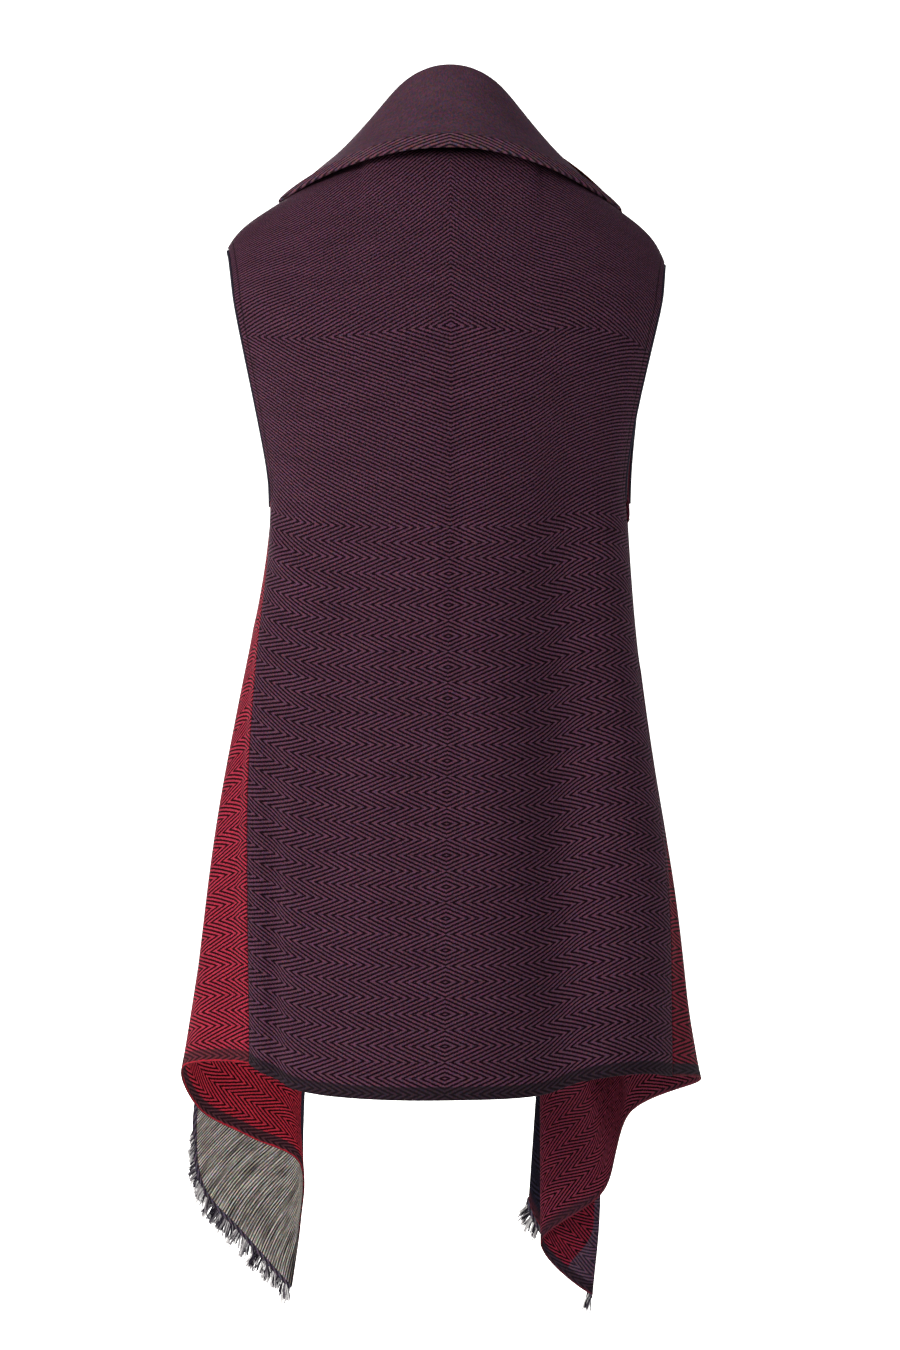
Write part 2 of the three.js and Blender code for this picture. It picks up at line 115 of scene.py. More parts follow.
def normals(grid):
    n = np.cross(np.gradient(grid, axis=1), np.gradient(grid, axis=0))
    return n / np.maximum(np.linalg.norm(n, axis=-1, keepdims=True), 1e-9)


# Creases are soft ridges (height over 0) and troughs (under 0) between two places on the flat cloth.
def creased(grid, flat, rows):
    move = np.zeros(grid.shape[:2])
    for u0, v0, u1, v1, width, height in rows:
        a, b = np.array([u0, v0], float), np.array([u1, v1], float)
        t = np.clip(((flat - a) @ (b - a)) / ((b - a) @ (b - a)), 0, 1)
        gap = np.linalg.norm(flat - (a + t[..., None] * (b - a)), axis=-1)
        move += height * np.exp(-(gap / width) ** 2) * (0.3 + 0.7 * np.sin(np.pi * t))
    return grid + normals(grid) * move[..., None]


def clothShell(name, grid, flat, place, materials):  # materials: one face, the other face, the rim
    rows, columns = grid.shape[:2]
    half = normals(grid) * cloth["thickness"] / 2
    loop = [(0, j) for j in range(columns)] + [(i, columns - 1) for i in range(1, rows)]
    loop += [(rows - 1, j) for j in range(columns - 2, -1, -1)] + [(i, 0) for i in range(rows - 2, 0, -1)]
    li, lj = np.array(loop).T
    inner = grid[np.clip(li, 1, rows - 2), np.clip(lj, 1, columns - 2)]
    out = grid[li, lj] - inner
    out /= np.maximum(np.linalg.norm(out, axis=1, keepdims=True), 1e-9)
    rim = grid[li, lj] + out * cloth["rim"]
    points = np.concatenate([(grid + half).reshape(-1, 3), (grid - half).reshape(-1, 3), rim])
    size = rows * columns
    cell = (np.arange(rows - 1)[:, None] * columns + np.arange(columns - 1)).ravel()
    outer = np.stack([cell, cell + 1, cell + columns + 1, cell + columns], axis=1)
    under = np.stack([cell, cell + columns, cell + columns + 1, cell + 1], axis=1) + size
    edge = li * columns + lj
    around = np.roll(np.arange(len(edge)), -1)
    ring = np.arange(len(edge)) + 2 * size
    rimTop = np.stack([edge, ring, ring[around], edge[around]], axis=1)
    rimLow = np.stack([ring, edge + size, edge[around] + size, ring[around]], axis=1)
    quads = np.concatenate([outer, under, rimTop, rimLow])
    mesh = bpy.data.meshes.new(name)
    mesh.vertices.add(len(points))
    mesh.vertices.foreach_set("co", (points / 1000).astype(np.float32).ravel())
    mesh.loops.add(quads.size)
    mesh.loops.foreach_set("vertex_index", quads.astype(np.int32).ravel())
    mesh.polygons.add(len(quads))
    mesh.polygons.foreach_set("loop_start", np.arange(0, quads.size, 4, dtype=np.int32))
    face = np.repeat([0, 1, 2], [len(outer), len(under), len(rimTop) * 2]).astype(np.int32)
    for material in materials:
        mesh.materials.append(material)
    mesh.polygons.foreach_set("material_index", face)
    mesh.polygons.foreach_set("use_smooth", np.ones(len(quads), bool))
    for layer, values in (("flat", flat), ("place", place)):
        spread = np.concatenate([values.reshape(-1, 2)] * 2 + [values[li, lj]])
        corners = spread[quads.ravel()].astype(np.float32)
        mesh.uv_layers.new(name=layer).uv.foreach_set("vector", corners.ravel())
    mesh.update(calc_edges=True)
    mesh.validate()
    across, down = grid[1:, 1:] - grid[:-1, :-1], grid[1:, :-1] - grid[:-1, 1:]
    area = np.linalg.norm(np.cross(across, down), axis=-1).sum() / 2e6
    print(f"{name}: {len(quads) * 2} triangles, {area:.4f} m2 of cloth")
    return addObject(name, mesh)


def addObject(name, data):
    made = bpy.data.objects.new(name, data)
    bpy.context.collection.objects.link(made)
    return made


# materials

def colour(code):
    parts = [int(code[i:i + 2], 16) / 255 for i in (1, 3, 5)]
    return [c / 12.92 if c < 0.04045 else ((c + 0.055) / 1.055) ** 2.4 for c in parts] + [1.0]


def add(tree, kind, inputs=(), **settings):  # a kind that names no family is a shader's or its maths
    made = tree.nodes.new(kind if kind.startswith(("Geometry", "Function")) else "ShaderNode" + kind)
    for key, value in settings.items():
        setattr(made, key, value)
    for key, value in (inputs.items() if isinstance(inputs, dict) else enumerate(inputs)):
        if isinstance(value, bpy.types.Node):
            value = value.outputs[0]
        if isinstance(value, bpy.types.NodeSocket):
            tree.links.new(value, made.inputs[key])
        elif value is not None:
            made.inputs[key].default_value = value
    return made


# The weave, in millimetres and in features a millimetre. The single threads, 0.6 mm apart in such cloth, are
# drawn at 1.15 mm, or they would not show; the speckle stands for single fibres and is coarser than they are.
yarns = {"thread": 1.15, "slubs": 3.4, "drift": 0.045, "fleck": 0.55, "broken": 3.2, "speckle": 0.45,
         "fuzz": 1.3, "slub": (0.022, 0.6, 1), "patch": (0.015, 0.06, 0), "edge": 0.07}


def newMaterial(name):
    material = bpy.data.materials.new(name)
    material.use_nodes = True
    material.node_tree.nodes.clear()
    return material, material.node_tree


def addSurface(tree, inputs):
    add(tree, "OutputMaterial", [add(tree, "BsdfPrincipled", inputs)])


def fillRamp(ramp, stops):  # stops are (position, colour) from left to right
    elements = ramp.color_ramp.elements
    elements.remove(elements[1])
    for i, (spot, code) in enumerate(stops):
        stop = elements.new(spot) if i else elements[0]
        stop.position, stop.color = spot, colour(code)


# Twill lines. They turn back on themselves because woolCloth hands in a mirrored Across and a zigzag Up.
# Line is 1 on the light thread and 0 on the dark one, Float the single thread crossings.
def twillGroup():
    tree = bpy.data.node_groups.new("reversing twill", "ShaderNodeTree")
    for name, value in (("Across", 0), ("Up", 0), ("Pitch", cloth["pitch"]), ("Slant", 0.45), ("Wander", 0.5),
                        ("Broken", yarns["broken"])):
        tree.interface.new_socket(name, in_out="INPUT", socket_type="NodeSocketFloat").default_value = value
    for name in ("Line", "Float"):
        tree.interface.new_socket(name, in_out="OUTPUT", socket_type="NodeSocketFloat")
    given = tree.nodes.new("NodeGroupInput").outputs
    at = add(tree, "CombineXYZ", [given["Across"], given["Up"], 0])
    drift = add(tree, "TexNoise", {"Vector": at, "Scale": yarns["drift"], "Detail": 2.0, "Roughness": 0.6})
    slant = add(tree, "Math", [given["Across"], given["Slant"], given["Up"]], operation="MULTIPLY_ADD")
    wander = add(tree, "Math", [drift, given["Wander"], slant], operation="MULTIPLY_ADD")
    phase = add(tree, "Math", [wander, given["Pitch"]], operation="DIVIDE")
    angle = add(tree, "Math", [phase, math.tau], operation="MULTIPLY")
    wave = add(tree, "Math", [angle], operation="SINE")
    fleck = add(tree, "TexNoise", {"Vector": at, "Scale": yarns["fleck"], "Detail": 2.0, "Roughness": 0.7})
    flecks = add(tree, "Math", [fleck, 0.5], operation="SUBTRACT")
    rough = add(tree, "Math", [flecks, given["Broken"], wave], operation="MULTIPLY_ADD")
    line = add(tree, "MapRange", {"Value": rough, "From Min": -0.65, "From Max": 0.7},
               interpolation_type="SMOOTHSTEP")
    pick = add(tree, "Math", [given["Across"], math.tau / yarns["thread"]], operation="MULTIPLY")
    picks = add(tree, "Math", [pick], operation="SINE")
    thread = add(tree, "MapRange", {"Value": picks, "From Min": -1.0, "From Max": 0.6})
    out = tree.nodes.new("NodeGroupOutput")
    tree.links.new(line.outputs[0], out.inputs["Line"])
    tree.links.new(thread.outputs[0], out.inputs["Float"])
    return tree


twill = twillGroup()

# Heights on the cloth, in millimetres up from the hem, where the twill starts and stops turning
reversals = {"first": 20.9, "last": 573.9, "shoulder": 778.0,
             "wornFrom": 480.0, "wornTo": 640.0}  # between these the lines get more broken up, from handling


# Double-faced wool, woven in two colours of yarn and lightly brushed: matt, with a faint pale bloom where
# it turns away. zones lists (place where it starts, light yarn, dark yarn) across the piece, and soft is how
# gradually they meet. crisp hardens the twill lines and worn breaks them up more, higher on the cloth. depth is
# how far the fibres differ in colour, and fade how gradually the dark border starts, in millimetres.
def woolCloth(name, zones, hem, turning=True, pitch=cloth["pitch"], slant=0.45, edgeLine=None, streaks=None,
              soft=0.01, crisp=0.0, bloom=0.012, relief=0.6, grain=yarns["speckle"], depth=0.4, fade=0.7,
              worn=0.0, tucked=None, stitched=None, mirrored=None):
    material, tree = newMaterial(name)
    flat = add(tree, "UVMap", uv_map="flat")
    place = add(tree, "UVMap", uv_map="place")
    inMm = add(tree, "VectorMath", [flat, (1000, 1000, 1000)], operation="MULTIPLY")
    flatXy = add(tree, "SeparateXYZ", [inMm])
    placeXy = add(tree, "SeparateXYZ", [place])
    u, v = flatXy.outputs[0], flatXy.outputs[1]
    across = add(tree, "Math", [u], operation="ABSOLUTE")
    if turning:
        low = add(tree, "Math", [v, reversals["last"]], operation="MINIMUM")
        fromFirst = add(tree, "Math", [low, reversals["first"]], operation="SUBTRACT")
        zigzag = add(tree, "Math", [fromFirst, cloth["turn"]], operation="PINGPONG")
        middle = add(tree, "Clamp", [v, reversals["last"], reversals["shoulder"]])
        lower = add(tree, "Math", [middle, -1.0, zigzag], operation="MULTIPLY_ADD")
        high = add(tree, "Math", [v, reversals["shoulder"]], operation="MAXIMUM")
        up = add(tree, "Math", [high, lower], operation="ADD")
    else:
        up = v
    if mirrored:  # beside the seam the lines run the other way: (place, place, slant there)
        slant = add(tree, "MapRange", {"Value": placeXy.outputs[0], "From Min": mirrored[0],
                                       "From Max": mirrored[1], "To Min": mirrored[2], "To Max": slant})
    broken = yarns["broken"]
    if worn:
        broken = add(tree, "MapRange", {"Value": v, "From Min": reversals["wornFrom"],
                                        "From Max": reversals["wornTo"], "To Min": broken,
                                        "To Max": broken + worn})
    lines = {"Across": across, "Up": up, "Pitch": pitch, "Slant": slant, "Broken": broken}
    line, thread = add(tree, "Group", lines, node_tree=twill).outputs
    if crisp:
        line = add(tree, "MapRange", {"Value": line, "From Min": crisp, "From Max": 1 - crisp}).outputs[0]
    yarn = None
    for start, light, dark in zones:
        pair = add(tree, "Mix", {0: line, 6: colour(dark), 7: colour(light)}, data_type="RGBA")
        if yarn is None:
            yarn = pair.outputs[2]
        else:
            inZone = add(tree, "MapRange",
                         {"Value": placeXy.outputs[0], "From Min": start - soft, "From Max": start + soft})
            yarn = add(tree, "Mix", {0: inZone, 6: yarn, 7: pair.outputs[2]}, data_type="RGBA").outputs[2]
    fromEdge = v
    if tucked:  # up to a place across, the border rolls under and shows narrower: (place, place, millimetres)
        rolled = add(tree, "MapRange", {"Value": placeXy.outputs[0], "From Min": tucked[0],
                                        "From Max": tucked[1], "To Min": tucked[2], "To Max": 0.0})
        fromEdge = add(tree, "Math", [v, rolled], operation="ADD").outputs[0]
    inHem = add(tree, "MapRange",
                {"Value": fromEdge, "From Min": cloth["hem"] + fade, "From Max": cloth["hem"] - fade})
    hemLine = add(tree, "Mix", {0: line, 6: colour(hem[1]), 7: colour(hem[0])}, data_type="RGBA")
    yarn = add(tree, "Mix", {0: inHem, 6: yarn, 7: hemLine.outputs[2]}, data_type="RGBA").outputs[2]
    if edgeLine:
        ragged = add(tree, "TexNoise", {"Vector": inMm, "Scale": yarns["edge"], "Detail": 3.0, "Roughness": 0.7})
        reach = add(tree, "Math", [ragged, -5.0, v], operation="MULTIPLY_ADD")
        atEdge = add(tree, "MapRange", {"Value": reach, "From Min": -0.7, "From Max": -1.5})
        yarn = add(tree, "Mix", {0: atEdge, 6: yarn, 7: colour(edgeLine)}, data_type="RGBA").outputs[2]
    if streaks:  # long slubby weft in black and undyed yarn, which hides the warp
        stretched = add(tree, "VectorMath", [inMm, yarns["slub"]], operation="MULTIPLY")
        slub = add(tree, "TexNoise", {"Vector": stretched, "Scale": 1.0, "Detail": 5.0, "Roughness": 0.75})
        weft = add(tree, "Math", [v, math.tau / yarns["slubs"]], operation="MULTIPLY")
        bent = add(tree, "Math", [slub, 4.0, weft], operation="MULTIPLY_ADD")
        ends = add(tree, "Math", [bent], operation="SINE")
        mixed = add(tree, "Math", [ends, 0.105, slub], operation="MULTIPLY_ADD")
        border = add(tree, "MapRange", {"Value": v, "From Min": 0.0, "From Max": 11.0,
                                        "To Min": -0.2, "To Max": 0.0})  # darker by the hem
        mixed = add(tree, "Math", [mixed, border], operation="ADD")
        ramp = add(tree, "ValToRGB", [mixed])
        fillRamp(ramp, [(mix(0.37, 0.64, i / (len(undyed) - 1)), code) for i, code in enumerate(undyed)])
        inStreaks = add(tree, "MapRange", {
            "Value": placeXy.outputs[0], "From Min": streaks - 0.02, "From Max": streaks + 0.02})
        yarn = add(tree, "Mix", {0: inStreaks, 6: yarn, 7: ramp.outputs[0]}, data_type="RGBA").outputs[2]
    banded = add(tree, "VectorMath", [inMm, yarns["patch"]], operation="MULTIPLY")
    patch = add(tree, "TexNoise", {"Vector": banded, "Scale": 1.0, "Detail": 4.0, "Roughness": 0.6})
    shade = add(tree, "MapRange", {"Value": patch, "From Min": 0.3, "From Max": 0.7,
                                   "To Min": 0.88, "To Max": 1.12})
    crossings = add(tree, "MapRange", {"Value": thread, "To Min": 0.86, "To Max": 1.06})
    speckle = add(tree, "TexNoise", {"Vector": inMm, "Scale": grain, "Detail": 2.0, "Roughness": 0.8})
    spread = np.array([1.3, 0.6, 1.0]) * depth  # red wanders most from thread to thread, and green least
    specks = add(tree, "MapRange", {6: speckle.outputs["Color"], 7: (0.3, 0.3, 0.3), 8: (0.7, 0.7, 0.7),
                                    9: 1 - spread, 10: 1 + spread}, data_type="FLOAT_VECTOR")
    speckled = add(tree, "VectorMath", [yarn, specks.outputs[1]], operation="MULTIPLY")
    tone = add(tree, "Math", [shade, crossings], operation="MULTIPLY")
    tinted = add(tree, "VectorMath", {0: speckled, "Scale": tone.outputs[0]}, operation="SCALE")
    lift = add(tree, "Math", [thread, 0.35, line], operation="MULTIPLY_ADD")
    fuzz = add(tree, "TexNoise", {"Vector": inMm, "Scale": yarns["fuzz"], "Detail": 3.0, "Roughness": 0.7})
    height = add(tree, "Math", [fuzz, 0.8, lift], operation="MULTIPLY_ADD")
    if stitched:  # a row of stitches sinks in, and the colour there is darkened as painted shade in the groove, (distance from the edge, height it starts at) in metres
        off = add(tree, "Math", [placeXy.outputs[0], stitched[0]], operation="SUBTRACT")
        beside = add(tree, "Math", [off], operation="ABSOLUTE")
        row = add(tree, "MapRange", {"Value": beside, "From Min": 0.0016, "From Max": 0.0004})
        above = add(tree, "MapRange", {"Value": placeXy.outputs[1], "From Min": stitched[1],
                                       "From Max": stitched[1] + 0.01})
        sunk = add(tree, "Math", [row, above], operation="MULTIPLY")
        height = add(tree, "Math", [sunk, -3.0, height], operation="MULTIPLY_ADD")
        # painted shade: the sunk stitch row is darkened as if shadowed in its groove
        grooveShade = add(tree, "MapRange", {"Value": sunk, "To Min": 1.0, "To Max": 0.45})
        tinted = add(tree, "VectorMath", {0: tinted, "Scale": grooveShade.outputs[0]}, operation="SCALE")
    bump = add(tree, "Bump", {"Strength": relief, "Distance": 0.0006, "Height": height})
    matt = add(tree, "MapRange", {"Value": fuzz, "To Min": 0.82, "To Max": 0.98})
    addSurface(tree, {"Base Color": tinted, "Roughness": matt, "Normal": bump, "IOR": 1.45,
                      "Specular IOR Level": 0.06, "Sheen Weight": bloom, "Sheen Roughness": 0.55,
                      "Sheen Tint": colour("#c9b4bd")})
    return material


undyed = ("#19161a", "#443f3d", "#726d69", "#aca8a3")  # the streaks, from black to natural yarn

plumYarns, plumHem = ("#503243", "#100209"), ("#2b1f28", "#150d13")
# the stitch row along each armhole slit gets painted shade in its groove
plumCloth = woolCloth("plum herringbone wool", [(0, *plumYarns)], plumHem, worn=1.8, stitched=(0.0085, 0.585))
collarCloth = woolCloth("plum twill wool, fine side", [(0, "#402b37", "#402b37"), (3.9, "#5a3d4a", "#1c0f17")],
                        ("#3a2832", "#20161c"), turning=False, pitch=3.2, slant=0.28, relief=0.15, soft=0.3,
                        grain=0.3, depth=0.5)
plumInside = woolCloth("plum twill wool, inside", [(0, "#452b38", "#1c0f16")], ("#2a2027", "#171015"))
plumEdge = woolCloth("plum cut edge", [(0, "#2c1d26", "#191015")], ("#2c1d26", "#191015"))
redLeft = woolCloth("red herringbone wool, left face", [(0, "#92273b", "#200004")], ("#56222c", "#280e15"),
                    slant=0.32, crisp=0.28, bloom=0.0, edgeLine="#981a2b", streaks=3.97)
redLeftInside = woolCloth("red herringbone wool, left inside",
                          [(0, "#b12a3c", "#1c0004"), (4.3, "#2b2838", "#15131f")], ("#4a2830", "#230f16"),
                          crisp=0.2, edgeLine="#9c1d2c")
redRight = woolCloth("dark red herringbone wool, right face",
                     [(0, *plumYarns), (-0.35, "#6f1b2d", "#0a0103"), (4.5, "#4c3646", "#211823")],
                     ("#2c1e28", "#160d14"), slant=0.38, mirrored=(0.7, 1.5, -0.17), crisp=0.28, bloom=0.0,
                     edgeLine="#4a1822", streaks=5.1)
redRightInside = woolCloth("dark red herringbone wool, right inside",
                           [(0, "#6a2638", "#070103"), (4.85, "#201d2c", "#0b0910")], ("#3c1e28", "#25131b"),
                           crisp=0.33, bloom=0.0, fade=3.5, tucked=(3.05, 3.4, 8.5), edgeLine="#56202b")
rootBand = woolCloth("dark fringe root band", [(0, "#4c4552", "#1d1823")], ("#4c4552", "#1d1823"))
redEdge = woolCloth("dark red cut edge", [(0, "#54121b", "#2a0a10")], ("#54121b", "#2a0a10"))
print("materials made")


# shoulders and back

shoulders = {
    -1: {"endX": 231, "endZ": -92, "edgeZ": -43, "slope": 0.87},
    1: {"endX": 223, "endZ": -107, "edgeZ": -52, "slope": 0.83},
}
neck = {"halfWidth": 82, "depth": 78, "sideRise": 10}
back = {"topZ": -150, "hemZ": -949, "rows": 170, "shoulderRows": 40, "columns": 150,
        "tip": 14, "crown": (3, 2.2)}  # powers: how suddenly a shoulder ends, how square at the middle and end

# height, middle (x, y), left edge (x, y, turn in degrees), right edge (x, y, turn)
backSections = {
    "z": [-949, -902, -775, -649, -523, -429, -376, -335, -273, -211, -150],
    "midX": [-5, -5, -4, -3, -2, -1, 0, 0, 1, 1, 1],
    "midY": [-170, -158, -131, -112, -97, -94, -98, -103, -110, -113, -108],
    "leftX": [-204, -204, -206, -206, -199, -190, -186, -187, -197, -209, -221],
    "leftY": [-86, -84, -76, -64, -38, -12, -8, -15, -24, -30, -32],
    "leftTurn": [72, 72, 72, 74, 78, 84, 84, 80, 74, 68, 62],
    "rightX": [227, 227, 225, 212, 196, 188, 184, 182, 190, 203, 217],
    "rightY": [-72, -66, -50, -22, 2, 8, -2, -12, -24, -30, -32],
    "rightTurn": [72, 72, 76, 82, 88, 90, 86, 80, 74, 68, 62],
}
backHem = {"across": [-1, -0.8, -0.62, -0.4, 0, 0.32, 0.5, 0.75, 1],
           "z": [-929, -938, -946, -949, -949, -946, -935, -934, -944]}
armholeBottomZ = -376


def backTop(across):  # the shoulder's ridge outside the neck, the neckline within it
    sign = -1 if across < 0 else 1
    side = shoulders[sign]
    amount, share = abs(across), neck["halfWidth"] / side["endX"]
    if amount <= share:
        turn = math.asin(amount / share)
        return [sign * neck["halfWidth"] * math.sin(turn), -neck["depth"] * math.cos(turn) - cloth["ridgeGap"],
                neck["sideRise"] * math.sin(turn) ** 2]
    t = (amount - share) / (1 - share)
    drop = side["slope"] * t + (1 - side["slope"]) * t ** back["tip"]
    return [sign * mix(neck["halfWidth"], side["endX"], t), -cloth["ridgeGap"],
            mix(neck["sideRise"], side["endZ"], drop)]


def backPoints(across, share):  # across -1 to 1 and share 0 (hem) to 1, broadcast together
    z = mix(back["hemZ"], back["topZ"], share)
    column = {key: hermite(backSections["z"], values, z) for key, values in backSections.items()}
    left, amount = across < 0, np.abs(across)
    edgeX, edgeY, turn = (np.where(left, column["left" + key], column["right" + key])
                          for key in ("X", "Y", "Turn"))
    turn = np.radians(turn)
    x = mix(column["midX"], edgeX, np.sin(amount * turn) / np.sin(turn))
    y = mix(column["midY"], edgeY, (1 - np.cos(amount * turn)) / (1 - np.cos(turn)))
    rise = (hermite(backHem["across"], backHem["z"], across) - back["hemZ"]) * (1 - share) ** 2
    return np.stack(np.broadcast_arrays(x, y, z + rise), axis=-1)


def backGrid():
    across = np.linspace(-1, 1, back["columns"] + 1)[None, :]
    share = np.linspace(0, 1, back["rows"], endpoint=False)[:, None]
    low = backPoints(across, np.ones((1, 1)))
    top = np.array([backTop(a) for a in across[0]])
    amount = np.linspace(0, 1, back["shoulderRows"] + 1)[:, None]
    power = 2 / mix(*back["crown"], np.abs(across))
    lean = np.cos(amount * math.pi / 2) ** power
    rise = np.sin(amount * math.pi / 2) ** power
    crown = np.stack([mix(low[..., 0], top[:, 0], amount), mix(top[:, 1], low[..., 1], lean),
                      mix(low[..., 2], top[:, 2], rise)], axis=-1)
    return np.concatenate([backPoints(across, share), crown])


def flatOf(grid, middle):  # distances along the cloth from a column and up from the hem, in metres
    u = lengths(grid, axis=1)
    u -= u[:, middle:middle + 1]
    v = lengths(grid, axis=0)
    return np.stack(np.broadcast_arrays(u, v), axis=-1) / 1000


# from height, to height (metres up the cloth), how much steeper the twill gets: its last reversal bends with it
leans = [(0.60, 0.78, 0.1), (0.78, 0.95, 0.3)]


def leant(flat):
    u, v = flat[..., 0], flat[..., 1]
    lean = sum(amount * ease(low, high, v) for low, high, amount in leans)
    return np.stack([u, v + lean * np.abs(u)], axis=-1)


# from (u, v), to (u, v), width, height: long soft folds that fall from the shoulder blades and the armholes
backCreases = [
    (-150, 60, -95, 620, 34, -3.0), (-70, 20, -60, 480, 34, 2.5), (132, -200, 122, 640, 50, -23.0),
    (20, -100, 30, 560, 60, 6.0), (-186, -80, -182, 340, 15, -9.0), (14, 220, 8, 780, 13, -2.4),
    (-215, 560, -150, 500, 16, 3.0), (-205, 600, -120, 590, 14, -2.2), (205, 560, 130, 505, 16, 3.0),
    (200, 610, 120, 600, 14, -2.0), (-185, 900, -60, 960, 14, 2.0), (180, 900, 70, 955, 14, 1.8),
    (-120, 845, -30, 900, 18, -1.6), (118, 840, 30, 905, 18, -1.6),
]
backPoint = backGrid()
backFlat = flatOf(backPoint, back["columns"] // 2)
backPoint = creased(backPoint, backFlat * 1000, backCreases)
fromSide = np.minimum(backFlat[..., 0] - backFlat[:, :1, 0], backFlat[:, -1:, 0] - backFlat[..., 0])
backPlace = np.stack([fromSide, backFlat[..., 1]], axis=-1)
backPanel = clothShell("back_panel", backPoint, leant(backFlat), backPlace, [plumCloth, plumInside, plumEdge])
print("back made")


# fronts: lines down each front from the side inwards, then out again over the turned-back lapel;
# each cell is (distance from the middle, y, z) where the line passes hem, hip, waist, chest, collarbone and top

front = {"rows": 190, "seam": 10, "panel": 14, "roll": 22, "lapel": 20, "rowPower": 1.08, "blend": 50}
# On the right front the last colour starts aslant at the foot of the fold, and the back's plum runs round the
# side higher up: (height, height, how far it moves, in spans), and the span where each ends
aslant = {"fold": (0, 0.08, 0.33), "foldEnd": 5.2, "side": (0.13, 0.42), "sideEnd": 2}
leftLines = {
    "side": [(283, 20, -955), (216, 6, -560), (186, 24, -376), (180, 72, -160), (186, 40, -68), (180, 0, -50)],
    "front": [(269, 70, -1009), (188, 68, -580), (160, 76, -378), (134, 96, -165), (132, 54, -48),
              (128, 0, -20)],
    "pleat": [(218, 116, -1049), (146, 98, -600), (126, 101, -380), (108, 105, -165), (100, 58, -34),
              (94, 0, 2)],
    "roll": [(166, 150, -1086), (171, 145, -1005), (114, 122, -620), (95, 119, -385), (86, 114, -160),
             (78, 66, -6), (68, 0, 43)],
    "lapel": [(167, 166, -1162), (166, 142, -650), (142, 134, -392), (146, 128, -175), (140, 76, -42),
              (122, 0, 2)],
    "free": [(176, 172, -1228), (232, 176, -1166), (272, 172, -1118), (281, 168, -1050), (262, 160, -930),
             (236, 148, -775), (198, 136, -600), (170, 128, -429), (170, 124, -330), (196, 112, -180),
             (196, 62, -80), (177, 0, -44)],
}
rightLines = {
    "side": [(265, 20, -967), (229, 14, -770), (200, 10, -560), (184, 28, -376), (178, 72, -168),
             (186, 40, -76), (180, 0, -58)],
    "front": [(194, 95, -1019), (176, 72, -580), (158, 78, -378), (134, 96, -168), (132, 54, -50),
              (128, 0, -23)],
    "pleat": [(169, 130, -1111), (136, 100, -600), (124, 101, -380), (108, 105, -165), (100, 58, -34),
              (94, 0, 2)],
    "roll": [(101, 152, -1176), (98, 124, -640), (94, 119, -385), (86, 114, -160), (78, 66, -6), (68, 0, 43)],
    "fold": [(158, 170, -1236), (166, 165, -1128), (150, 143, -650), (128, 134, -392), (126, 129, -170),
             (118, 75, -32), (104, 0, 12)],
    "turn": [(89, 188, -1133), (122, 162, -650), (148, 136, -396), (168, 126, -185), (160, 74, -62),
             (140, 0, -15)],
    "free": [(150, 204, -1060), (164, 198, -930), (172, 186, -775), (170, 164, -600), (164, 134, -429),
             (166, 126, -330), (194, 112, -186), (196, 62, -86), (177, 0, -50)],
}
armholeFront = {"z": [-376, -340, -270, -190, -130, -92], "x": [187, 189, 197, 208, 222, 231],
                "y": [-4, 30, 62, 64, 40, 0]}


def frontSeam(sign, z):  # along the back below the armhole, along the slit above it; and the point before it
    side = shoulders[sign]
    rise = backPoints(np.array([sign * 1.0]), np.array([0.0]))[0, 2] - back["hemZ"]
    share = np.zeros_like(z)
    for _ in range(5):  # the hem's own rise is taken off first
        share = (z - rise * (1 - share) ** 2 - back["hemZ"]) / (back["topZ"] - back["hemZ"])
    share = np.clip(share, 0, None)
    edge, inside = (backPoints(np.full_like(z, a * sign), share) for a in (1.0, 0.96))
    out = (edge - inside) * (1, 1, 0)
    edge += out / np.linalg.norm(out, axis=-1, keepdims=True) * cloth["sideGap"]
    lift = (z - armholeBottomZ) / (side["endZ"] - armholeBottomZ)
    tableZ = mix(armholeBottomZ, shoulders[-1]["endZ"], lift)
    x = hermite(armholeFront["z"], armholeFront["x"], tableZ)
    x = x * mix(1, side["endX"] / shoulders[-1]["endX"], lift)
    y = hermite(armholeFront["z"], armholeFront["y"], tableZ) + cloth["ridgeGap"]
    slit = np.stack([sign * x, y, z], axis=-1)
    return np.where((z < armholeBottomZ)[:, None], edge, slit), inside


def frontGrid(sign, lines):
    shares = np.linspace(0, 1, front["rows"] + 1) ** front["rowPower"]
    curves = [evenly(np.array([(sign * x, y + cloth["ridgeGap"], z) for x, y, z in line]), shares)
              for line in lines.values()]
    hemZ = backPoints(np.array([sign * 1.0]), np.array([0.0]))[0, 2]
    z = mix(hemZ, shoulders[sign]["endZ"], shares)
    seam, inside = frontSeam(sign, z)
    points = np.stack([seam, *curves], axis=1)
    names = list(lines)
    folds = [False] + [name in ("roll", "fold", "turn") for name in names]
    counts = [front["seam"]]
    for span in range(1, len(names)):
        key = "roll" if names[span - 1] == "roll" else "lapel" if folds[span] or folds[span + 1] else "panel"
        counts.append(front[key])
    places = steps(counts, folds)
    onSeam = ease(armholeBottomZ, armholeBottomZ - front["blend"], z)[:, None]
    before = mix(2 * points[:, 0] - points[:, 1], inside, onSeam)
    return spline(points, places, before), places


def frontPanel(name, sign, lines, creases, materials):
    grid, places = frontGrid(sign, lines)
    flat = flatOf(grid, 0)
    span = np.broadcast_to(places, grid.shape[:2])
    fromEnd = flat[:, -1:, 0] - flat[..., 0]
    grid = creased(grid, flat * 1000, creases)
    if sign > 0:
        low, high, amount = aslant["fold"]
        span = span - amount * ease(low, high, flat[..., 1]) * (span < aslant["foldEnd"])
        end = aslant["sideEnd"]
        span = span - ease(*aslant["side"], flat[..., 1]) * (end - np.clip(places, 0, end))
    place = np.stack([span, fromEnd], axis=-1)
    return clothShell(name, grid, flat, place, materials), grid


